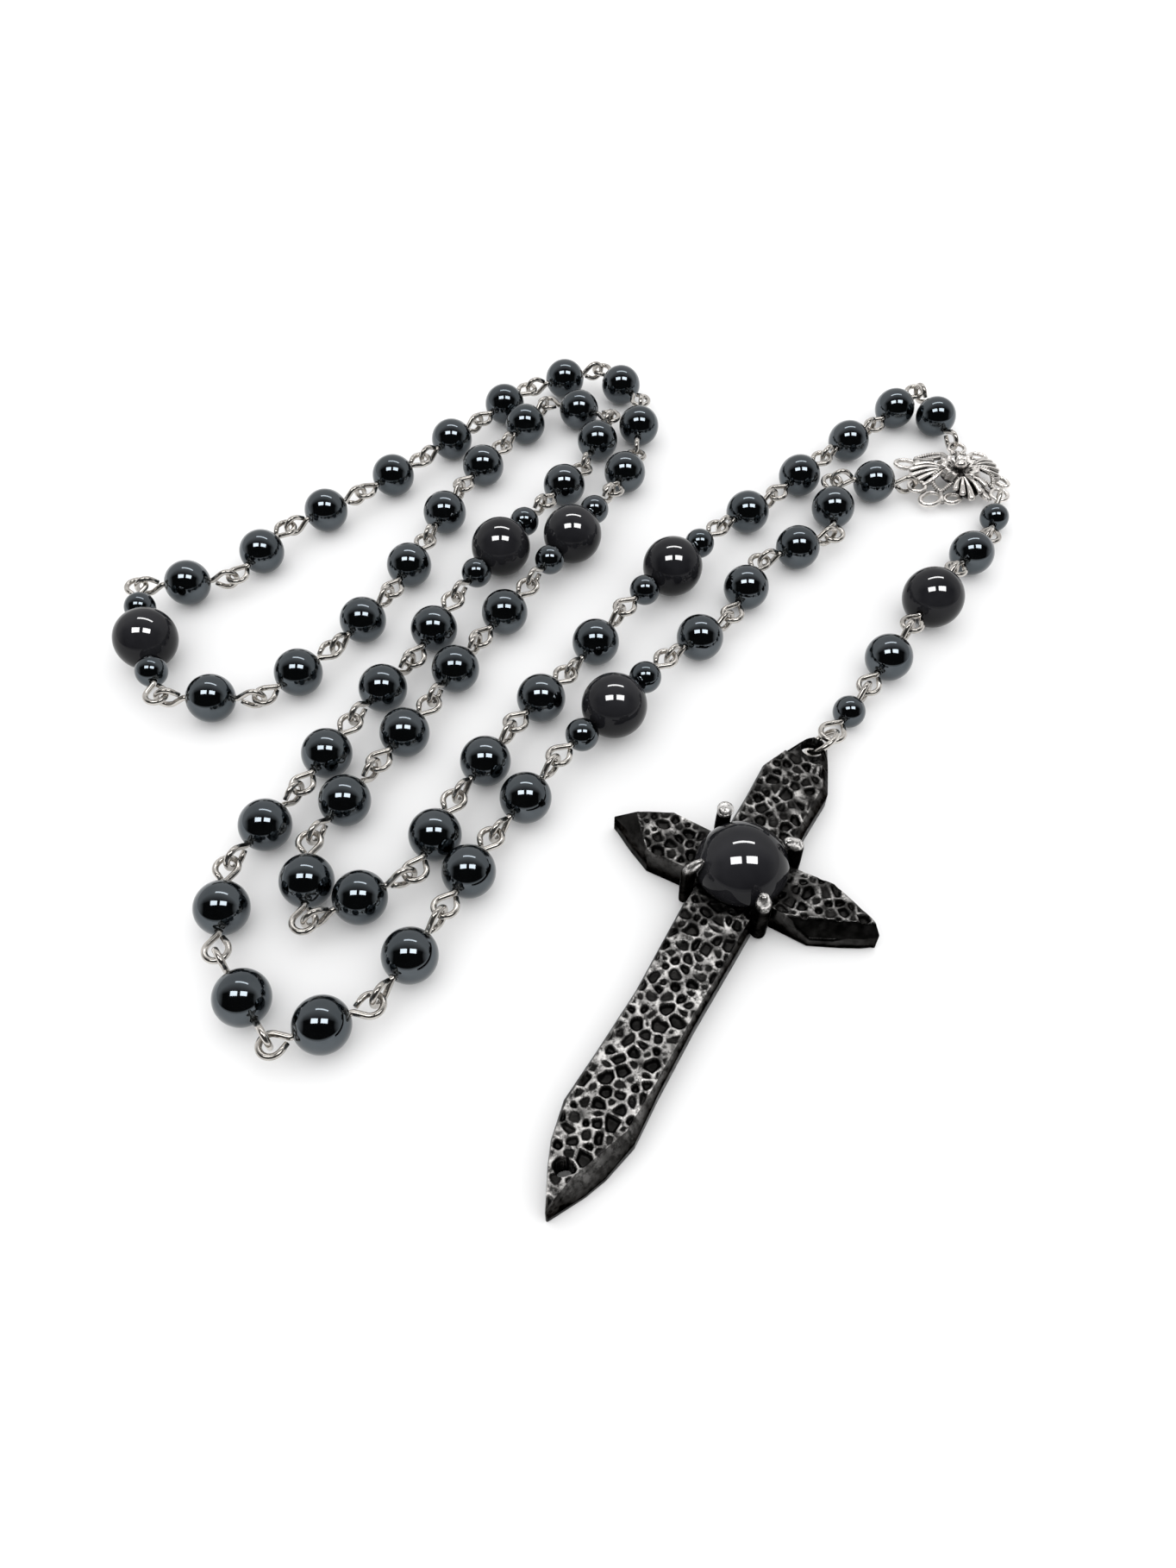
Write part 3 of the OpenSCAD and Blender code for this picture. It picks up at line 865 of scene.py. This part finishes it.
def arm_shape(shape, table, turn, hole=None, cut_plane=None):
    """One arm, lying along local X before it is turned about the middle."""
    table = np.array(table)
    step = 0.13
    columns = 58
    rows = int((table[-1, 0] - table[0, 0]) / step)
    even = np.linspace(table[0, 0], table[-1, 0], rows)
    out = np.unique(np.round(np.concatenate([even, table[:, 0]]), 4))
    rows = len(out)
    right_out, right_in, right_z, left_out, left_in, left_z = [
        np.interp(out, table[:, 0], table[:, k]) for k in range(1, 7)]

    # grids of the face and the underside; the underside is a little inside the outline
    share = np.linspace(0, 1, columns)
    inset = 0.25
    top_v = left_in[:, None] * (1 - share) - right_in[:, None] * share
    low_v = (left_out[:, None] - inset) * (1 - share) - (right_out[:, None] - inset) * share
    low_v = np.where((left_out + right_out)[:, None] < 0.8, top_v, low_v)
    u = np.repeat(out[:, None], columns, 1)
    rim = np.minimum(left_in[:, None] - top_v, top_v + right_in[:, None])
    c, s = math.cos(math.radians(turn)), math.sin(math.radians(turn))
    cross_u, cross_v = u * c - top_v * s, u * s + top_v * c
    height, worn, smooth = face_height(cross_u.ravel(), cross_v.ravel(), rim.ravel(),
                                       cut_plane)
    height = height.reshape(u.shape)
    worn = worn.reshape(u.shape)
    if turn == DOWN_TURN:
        height = height - 0.5 * smooth_step(table[-1, 0] - 1.6, table[-1, 0], u)
    tab = smooth_step(*TAB_START, u) if turn == UP_TURN else np.zeros(u.shape)
    low = (TAB_Z - TAB_HALF) * tab
    top = np.stack([u, top_v, height], 2)
    bottom = np.stack([u, low_v, low], 2)
    base = rows * columns

    # squares of both, except in the hole, whose edge is then pulled to a true circle
    gone = squares_in_hole(u, top_v, hole) if hole else set()
    faces, hole_points = hole_wall(gone, columns, base)
    flat_top, flat_bottom = top.reshape(-1, 3), bottom.reshape(-1, 3)
    for a in hole_points:
        spoke = flat_top[a, :2] - hole[:2]
        place = hole[:2] + spoke / np.linalg.norm(spoke) * hole[2]
        flat_top[a, :2] = place
        flat_bottom[a, :2] = place
        flat_top[a, 2] = max(flat_top[a, 2], height.max() - 0.25)
    for r in range(rows - 1):
        for col in range(columns - 1):
            if (r, col) not in gone:
                a = r * columns + col
                faces.append((a + 1, a + columns + 1, a + columns, a))
                faces.append((base + a, base + a + columns, base + a + columns + 1,
                              base + a + 1))
    points = [flat_top, flat_bottom]
    all_worn = [worn.ravel(), np.zeros(base)]
    all_smooth = [smooth, np.zeros(base)]

    # each side: a bevel that falls from its own copy of the face's edge, so that the
    # edge stays sharp, then the wall, then a small chamfer to the underside
    for sign, outline, bevel_z, column in ((1, left_out, left_z, 0),
                                           (-1, -right_out, right_z, columns - 1)):
        bevel_z = np.minimum(bevel_z, height[:, column] - 0.05)
        chamfer_z = np.maximum(low[:, column] + 0.22, 0.22)
        start = sum(len(p) for p in points)
        points += [np.stack([out, outline, bevel_z], 1),
                   np.stack([out, outline, chamfer_z], 1), top[:, column]]
        all_worn += [np.full(rows, 0.02), np.full(rows, 0.005), worn[:, column] * 0.2]
        all_smooth += [np.full(rows, 0.8), np.full(rows, 0.5), np.full(rows, 0.8)]
        steps = np.arange(rows)
        lines = [start + 2 * rows + steps, start + steps, start + rows + steps,
                 base + steps * columns + column]
        for upper, lower in zip(lines[:-1], lines[1:]):
            for r in range(rows - 1):
                square = (upper[r], upper[r + 1], lower[r + 1], lower[r])
                faces.append(tuple(int(k) for k in square[::sign]))
        for row, order in ((0, sign), (rows - 1, -sign)):
            faces.append(tuple(int(line[row]) for line in lines)[::order])
    for row, order in ((0, -1), (rows - 1, 1)):
        for col in range(columns - 1):
            a = row * columns + col
            faces.append((a, a + 1, base + a + 1, base + a)[::order])
    spin = Matrix.Rotation(math.radians(turn), 4, "Z")
    shape.add(np.concatenate(points), faces, CROSS_MATRIX @ spin,
              worn=np.concatenate(all_worn), dark=np.concatenate(all_smooth))


def cross_piece():
    shape = Shape()
    low_u, low_v = LOW_HOLE_AT
    arm_shape(shape, UP_ARM, UP_TURN, hole=(TOP_HOLE_AT, 0, TOP_HOLE_R))
    arm_shape(shape, DOWN_ARM, DOWN_TURN, hole=(-low_u, -low_v, LOW_HOLE_R))
    arm_shape(shape, LEFT_ARM, 90, cut_plane=LEFT_CUT)
    arm_shape(shape, RIGHT_ARM, -90, cut_plane=RIGHT_CUT)
    shape.make("cross_plate", OXIDISED, ["cross"], "oxidised_metal")


cross_piece()


# ---------------- setting and stone
# The prongs' distance from the middle of the stone.
PRONG_OUT = 6.15
# Each prong: its angle, thickness, how far its tip reaches in, the height where
# silver starts to show, how worn it is, how wide its tip is and how flat it is.
PRONGS = [
    (45, 0.84, 0.35, 6.4, 2.0, 1.12, 1.0),
    (135, 0.84, 1.60, 6.2, 1.3, 0.66, 0.75),
    (225, 0.90, 0.60, 5.9, 1.2, 0.66, 1.0),
    (315, 0.84, 1.55, 6.1, 2.0, 0.74, 0.9),
]


def setting_piece():
    """Four prongs with a foot each, and the ring that the stone sits on."""
    shape = Shape()
    count = 46
    for angle, thick, lean, silver_z, worn, tip, flat in PRONGS:
        path = smooth_path([(PRONG_OUT, 0, 0.42), (PRONG_OUT, 0, 2.6), (PRONG_OUT, 0, 4.8),
                            (PRONG_OUT - 0.07, 0, 6.1), (PRONG_OUT - lean * 0.5, 0, 7.0),
                            (PRONG_OUT - lean, 0, 7.65)], count)
        size = thick * np.interp(np.linspace(0, 1, count), [0, 0.25, 0.7, 0.88, 1],
                                 [0.92, 1, 0.96, tip, tip * 0.8])
        size = size * taper(count, 0.06, 0.14)
        points, faces = sweep(path, size, size * flat, sides=24, up=(0, 1, 0))
        shine = smooth_step(silver_z, silver_z + 0.6, points[:, 2]) * worn
        spin = Matrix.Rotation(math.radians(angle), 4, "Z")
        shape.add(points, faces, CROSS_MATRIX @ spin, worn=shine, dark=0.4)
        foot = smooth_path([(4.2, 0, 3.9), (5.2, 0, 3.9), (6.1, 0, 3.8)], 8)
        shape.add(*sweep(foot, 0.45, 0.3, sides=12, up=(0, 0, 1)), CROSS_MATRIX @ spin)
    ring = [(3.62, 3.3), (3.62, 4.65), (4.2, 4.7), (4.28, 4.6), (4.28, 3.4), (4.2, 3.3)]
    seat = lathe(ring, 72) @ UPRIGHT
    shape.add(seat, grid_faces(len(ring), 72, True, True), CROSS_MATRIX)
    shape.make("setting_prongs", OXIDISED, ["setting"], "oxidised_metal")


def cabochon_piece():
    """Flat back, a short upright girdle and a part of a ball above it."""
    base, girdle, top = 4.3, 0.8, 4.2
    r = 5.1
    sides = 96
    ball = (r * r + top * top) / (2 * top)
    widest = math.asin(r / ball)
    profile = [(base, 0.001), (base, r - 0.3), (base + 0.12, r - 0.08), (base + 0.3, r),
               (base + girdle - 0.15, r)]
    for a in np.linspace(widest * 0.985, 0.002, 40):
        profile.append((base + girdle + top - ball + ball * math.cos(a), ball * math.sin(a)))
    shape = Shape()
    shape.add(lathe(profile, sides) @ UPRIGHT, capped(len(profile), sides), CROSS_MATRIX)
    shape.make("cabochon_stone", BLACK_STONE, ["cabochon"], "onyx")


setting_piece()
cabochon_piece()


# ---------------- centrepiece
def rope(shape, route):
    """Milled edge: a fine core with a row of small flat beads on it."""
    half, bead_step = 0.34, 0.36
    rings, around = 6, 10
    path = smooth_path(route, 70)
    shape.add(*sweep(path, half * 0.62, sides=8))
    faces = capped(rings, around, flip=True)
    gaps = np.linalg.norm(np.diff(path, axis=0), axis=1)
    length = np.concatenate([[0], np.cumsum(gaps)])
    beads = int(length[-1] / bead_step)
    for k in range(beads):
        at = (k + 0.5) * length[-1] / beads
        place = np.array([np.interp(at, length, path[:, j]) for j in range(3)])
        ahead = np.array([np.interp(at + 0.05, length, path[:, j]) for j in range(3)])
        behind = np.array([np.interp(at - 0.05, length, path[:, j]) for j in range(3)])
        along = (ahead - behind) / np.linalg.norm(ahead - behind)
        across = np.cross(along, (0, 0, 1))
        across /= np.linalg.norm(across)
        over = np.cross(across, along)
        points = []
        for lat in np.linspace(0.05, math.pi - 0.05, rings):
            s = math.sin(lat)
            for a in np.linspace(0, 2 * math.pi, around, endpoint=False):
                points.append(place + along * (-math.cos(lat) * bead_step * 0.44)
                              + across * (half * 1.15 * s * math.cos(a))
                              + over * (half * s * math.sin(a)))
        shape.add(points, faces)


def wire_loop(shape, middle, long_half, short_half, turn, half):
    """Closed oval of round wire lying nearly flat."""
    path = []
    c, s = toward(turn)
    for a in np.linspace(0, 2 * math.pi, 40, endpoint=False):
        x, y = long_half * math.cos(a), short_half * math.sin(a)
        path.append((middle[0] + x * c - y * s, middle[1] + x * s + y * c,
                     middle[2]))
    shape.add(*sweep(path, half, sides=12, closed=True))


def flute(shape, start, end, bow, wide, flat):
    """Rounded rib that widens toward its free end and bends down."""
    start, end = np.array(start), np.array(end)
    count, thin, rise = 26, 0.12, 0.30
    heading = math.degrees(math.atan2(end[1] - start[1], end[0] - start[0]))
    middle = (start + end) / 2 + np.array([*(bow * toward(heading + 90)), rise])
    path = smooth_path([start, middle, end], count)
    t = np.linspace(0, 1, count)
    size = (thin + (wide - thin) * t ** 1.3) * taper(count, 0.03, 0.16)
    shape.add(*sweep(path, size, size * flat, sides=14, up=(0, 0, 1)))


def fan(shape, root, tips, wide):
    """Ribs that run from one root out to their tips, over a web painted dark as shade."""
    root = np.array(root, float)
    tips = np.array(tips, float)
    middle = tips.mean(axis=0) - root
    across = np.cross((0, 0, 1), middle / np.linalg.norm(middle))
    share = np.linspace(-1, 1, len(tips))
    lean = 1 if (tips[-1] - tips[0]) @ across > 0 else -1
    for s, tip in zip(share, tips):
        start = root + across * (0.42 * s * lean)
        flute(shape, start, tip, 0.25 * s * lean, wide * (1 - 0.16 * abs(s)), 0.8)
    # the web is a sheet painted dark: painted shade under the ribs
    web = [root + (0, 0, -0.25)]
    web += [root + (tip - root) * 0.86 + (0, 0, -0.30) for tip in tips]
    low = [p - (0, 0, 0.3) for p in web]
    n = len(web)
    order = 1 if lean > 0 else -1
    faces = []
    for k in range(1, n - 1):
        faces.append((0, k, k + 1)[::order])
        faces.append((n, n + k + 1, n + k)[::order])
    for k in range(n):
        j = (k + 1) % n
        faces.append((j, k, n + k, n + j)[::order])
    shape.add(web + low, faces, dark=0.7)


def petal(shape, angle, out, half_angle):
    """Cupped petal: a puffy lobed rim round short strokes that run to the middle."""
    rows, columns = 30, 60
    t, s = np.meshgrid(np.linspace(0, 1, rows), np.linspace(-1, 1, columns),
                       indexing="ij")
    lobes = 1 + 0.075 * np.cos(s * 3 * math.pi) - 0.24 * s ** 4
    r = 0.45 + (out * lobes - 0.45) * t
    a = np.radians(angle + s * half_angle * (0.60 + 0.40 * np.sin(t * 2.0)))
    stroke = np.clip(np.cos(s * 7 * math.pi) * 1.6, 0, 1)
    inner = smooth_step(0.08, 0.18, t) * (1 - smooth_step(0.48, 0.58, t))
    z = 3.10 + 0.62 * smooth_step(0.34, 0.72, t) - 0.95 * smooth_step(0.78, 1.04, t)
    z = z - 0.30 * np.abs(s) ** 3 + 0.10 * stroke * inner
    z = z - 0.22 * smooth_step(0.5, 0.8, t) * (1 - np.cos(s * 3 * math.pi)) / 2
    dark = inner * (0.80 - 0.60 * stroke)
    top = np.stack([r * np.cos(a), r * np.sin(a), z], 2).reshape(-1, 3)
    low = top.copy()
    low[:, 2] -= 0.35
    n = rows * columns
    faces = grid_faces(rows, columns, flip=True)
    faces += [tuple(n + i for i in f)[::-1] for f in faces]
    border = (list(range(columns))
              + [k * columns + columns - 1 for k in range(1, rows)]
              + [(rows - 1) * columns + c for c in range(columns - 2, -1, -1)]
              + [k * columns for k in range(rows - 2, 0, -1)])
    for first, second in zip(border, border[1:] + border[:1]):
        faces.append((first, second, n + second, n + first))
    # the underside is painted dark: painted shade under the petal
    shape.add(np.concatenate([top, low]), faces,
              dark=np.concatenate([dark.ravel(), np.full(n, 0.6)]))


def flower(shape):
    """Plate painted dark as shade under the petals, four petals and an oval boss."""
    profile = [(1.7, 0.01), (1.7, 2.2), (1.9, 2.6), (2.4, 2.5), (2.85, 1.9), (2.9, 0.01)]
    disc = lathe(profile, 48) @ UPRIGHT
    # the plate's dark colour is painted shade under the petals
    shape.add(disc, capped(len(profile), 48), dark=0.8)
    for angle, out, half_angle in ((55, 3.15, 43), (145, 3.25, 43), (217, 2.85, 34),
                                   (330, 3.0, 46)):
        petal(shape, angle, out, half_angle)
    boss = []
    rings, around = 18, 32
    for lat in np.linspace(0.02, math.pi - 0.02, rings):
        for a in np.linspace(0, 2 * math.pi, around, endpoint=False):
            boss.append((0.88 * math.sin(lat) * math.cos(a),
                         0.66 * math.sin(lat) * math.sin(a), 3.75 + 0.72 * math.cos(lat)))
    shape.add(boss, capped(rings, around, flip=True))


# Roots and tips of the three fans, from the middle of the flower.
NEAR_FAN = ((0.3, -1.7, 3.0), [(-1.2, -3.95, 2.2), (-0.2, -4.75, 1.9), (1.1, -5.5, 1.6),
                               (2.6, -4.3, 1.9), (3.5, -3.2, 2.2)])
LEFT_FAN = ((-2.4, 0.3, 3.0), [(-6.4, 2.0, 2.2), (-7.2, 1.2, 1.9), (-7.4, -0.1, 1.6),
                               (-6.3, -1.1, 1.8), (-4.9, -1.9, 1.9)])
RIGHT_FAN = ((2.5, 0.9, 3.0), [(5.6, 2.6, 2.2), (6.0, 1.9, 2.1), (6.3, 0.9, 1.9),
                               (6.1, -0.2, 1.8)])
# Smooth loops: middle, half length, half width, turn and half wire.
LOOPS = [
    ((-4.7, -4.6, 1.2), 1.75, 1.20, 35, 0.36),
    ((-1.5, -4.5, 1.2), 1.25, 0.90, 25, 0.34),
    ((-7.2, 3.0, 1.6), 1.45, 0.95, -8, 0.34),
    ((4.0, 4.6, 1.6), 1.20, 0.90, -20, 0.34),
    ((6.3, -1.1, 1.5), 1.20, 0.75, -55, 0.32),
    ((3.5, -3.7, 1.3), 1.15, 0.65, -75, 0.28),
]
# Rope edges round the open gaps.
ROPES = [
    [(-3.15, -0.3, 3.0), (-4.0, -1.15, 2.5), (-4.0, -2.3, 2.0), (-3.15, -3.55, 1.8),
     (-1.9, -2.7, 2.1), (-0.4, -1.8, 2.8)],
    [(3.15, 0.55, 3.0), (4.4, 0.2, 2.5), (4.9, -1.0, 2.1), (4.5, -2.7, 1.8),
     (4.0, -2.0, 2.0), (2.2, -1.75, 2.6)],
    [(-5.75, 3.8, 1.9), (-4.25, 4.3, 2.1), (-2.6, 4.5, 2.3), (-1.8, 4.2, 2.5)],
    [(-0.3, 4.5, 2.3), (0.8, 4.9, 2.2), (2.05, 4.7, 2.1)],
]
# Plain bars that tie the loops to the rest.
BARS = [
    [(-2.2, 2.9, 2.9), (-3.8, 3.2, 2.3), (-5.9, 3.0, 1.8)],
    [(-3.4, 2.2, 2.8), (-4.6, 2.9, 2.3), (-5.75, 3.8, 1.8)],
    [(-3.15, -3.4, 1.7), (-3.1, -4.3, 1.3), (-3.05, -5.3, 1.1)],
    [(-4.0, -1.7, 2.1), (-4.9, -1.9, 1.9), (-5.6, -2.2, 1.7)],
    [(-1.2, 2.6, 2.9), (-1.4, 3.6, 2.6), (-1.7, 4.3, 2.4)],
    [(0.2, 2.6, 2.9), (0.5, 4.0, 2.5), (0.9, 5.5, 1.8)],
    [(1.9, 2.5, 2.9), (2.1, 3.8, 2.4), (2.9, 4.7, 1.8)],
    [(2.6, 2.2, 2.8), (3.9, 3.1, 2.2), (4.9, 4.1, 1.7)],
    [(4.8, -1.0, 2.0), (5.6, -0.9, 1.8), (6.0, -0.2, 1.7)],
    [(4.5, -2.5, 1.8), (4.7, -3.0, 1.7), (4.9, -3.3, 1.7)],
    [(2.8, -3.2, 1.9), (3.1, -4.2, 1.5), (3.9, -4.9, 1.3)],
]


def centrepiece():
    """Everything is drawn round the flower's middle, and then put in its place."""
    shape = Shape()
    flower(shape)
    fan(shape, *NEAR_FAN, 0.62)
    fan(shape, *LEFT_FAN, 0.58)
    fan(shape, *RIGHT_FAN, 0.55)
    for held in HELD_AT.values():
        x, y = LOOP_OUT * toward(held + CENTRE_TURN)
        wire_loop(shape, (x, y, LOOP_Z), 1.22, 1.22, 0, 0.30)
    for middle, long_half, short_half, turn, half in LOOPS:
        wire_loop(shape, middle, long_half, short_half, turn, half)
    for points in ROPES:
        rope(shape, points)
    for points in BARS:
        path = smooth_path(points, 16)
        shape.add(*sweep(path, 0.36, 0.38, sides=10, up=(0, 0, 1)), dark=0.25)
    placed = Shape()
    placed.add(np.concatenate(shape.points), shape.faces, CENTRE_MATRIX,
               dark=np.concatenate(shape.dark))
    placed.make("centre_filigree", ANTIQUE, ["centrepiece"], "antique_silver")


centrepiece()


# ---------------- floor and light
def floor():
    mesh = bpy.data.meshes.new("floor")
    mesh.from_pydata([(-1.5, -1.5, 0), (1.5, -1.5, 0), (1.5, 1.5, 0), (-1.5, 1.5, 0)], [],
                     [(0, 1, 2, 3)])
    material, tree, shader = new_material("floor_white")
    shader.inputs["Roughness"].default_value = 0.9
    shader.inputs["Specular IOR Level"].default_value = 0.1
    colour = blend_colour(tree, noise_at(tree, 6, 2), (0.90, 0.90, 0.905),
                          (0.93, 0.93, 0.93))
    tree.links.new(colour, shader.inputs["Base Color"])
    mesh.materials.append(material)
    piece = bpy.data.objects.new("floor", mesh)
    bpy.context.scene.collection.objects.link(piece)


def lamp(name, elevation, azimuth, wide, high, radiance, slots):
    """Soft lamp aimed at the middle, for some pieces; azimuth 0 is the near side."""
    distance = 0.85
    data = bpy.data.lights.new(name, "AREA")
    data.shape = "RECTANGLE"
    data.size, data.size_y = wide * distance, high * distance
    data.energy = radiance * math.pi * data.size * data.size_y
    e, a = math.radians(elevation), math.radians(azimuth)
    away = Vector((math.sin(a) * math.cos(e), -math.cos(a) * math.cos(e), math.sin(e)))
    level = (Vector((1, 0, 0)) - away * away.x).normalized()
    piece = bpy.data.objects.new(name, data)
    piece.location = away * distance
    facing = Matrix((level, away.cross(level), away)).transposed()
    piece.rotation_euler = facing.to_euler()
    bpy.context.scene.collection.objects.link(piece)
    lit = bpy.data.collections.new(name + "_lights")
    for slot in slots:
        for lit_piece in pieces_of[slot]:
            lit.objects.link(lit_piece)
    piece.light_linking.receiver_collection = lit


def world():
    """Even white for what is lit, with a dark patch overhead for what mirrors."""
    made = bpy.data.worlds.new("studio")
    made.use_nodes = True
    bpy.context.scene.world = made
    tree = made.node_tree
    back = tree.nodes["Background"]
    place = node(tree, "ShaderNodeTexCoord")
    split = node(tree, "ShaderNodeSeparateXYZ")
    tree.links.new(place.outputs["Generated"], split.inputs[0])

    def plain(operation, first, second=0.0):
        return maths(tree, operation, first, second, clamp=False)

    def rise(source, low, high):
        return spread(tree, source, math.radians(low), math.radians(high), 0, 1)

    # angle up from the near horizon, over the top to the far one; angle sideways
    near = plain("MULTIPLY", split.outputs["Y"], -1.0)
    climb = plain("ARCTAN2", split.outputs["Z"], near)
    aside = plain("ABSOLUTE", plain("ARCSINE", split.outputs["X"]))
    from_near = rise(climb, 4, 9)
    to_far = plain("SUBTRACT", 1.0, rise(climb, 84, 122))
    between = plain("SUBTRACT", 1.0, rise(aside, 58, 84))
    patch = plain("MULTIPLY", plain("MULTIPLY", from_near, to_far), between)
    mirrored = node(tree, "ShaderNodeMix", data_type="FLOAT")
    tree.links.new(patch, mirrored.inputs[0])
    mirrored.inputs[2].default_value = 0.78
    mirrored.inputs[3].default_value = 0.02
    path = node(tree, "ShaderNodeLightPath")
    chosen = node(tree, "ShaderNodeMix", data_type="FLOAT")
    tree.links.new(path.outputs["Is Glossy Ray"], chosen.inputs[0])
    chosen.inputs[2].default_value = 1.32
    tree.links.new(mirrored.outputs[0], chosen.inputs[3])
    tree.links.new(chosen.outputs[0], back.inputs["Strength"])
    back.inputs["Color"].default_value = (1, 1, 1, 1)


floor()
world()
for kind, dash, strip, slots in (
    ("metal", 3.8, 3.2, ("wire", "oxidised_metal")),
    ("silver", 5.5, 5.0, ("antique_silver",)),
    ("hematite", 9.0, 6.0, ("hematite",)),
    ("stone", 75.0, 60.0, ("onyx",)),
):
    lamp(f"left_lamp_{kind}", 67.8, -51.8, 0.45, 0.30, dash, slots)
    lamp(f"right_lamp_{kind}", 66.6, 56.0, 0.45, 0.30, dash, slots)
    lamp(f"strip_lamp_{kind}", 57.6, 173.2, 0.80, 0.10, strip, slots)
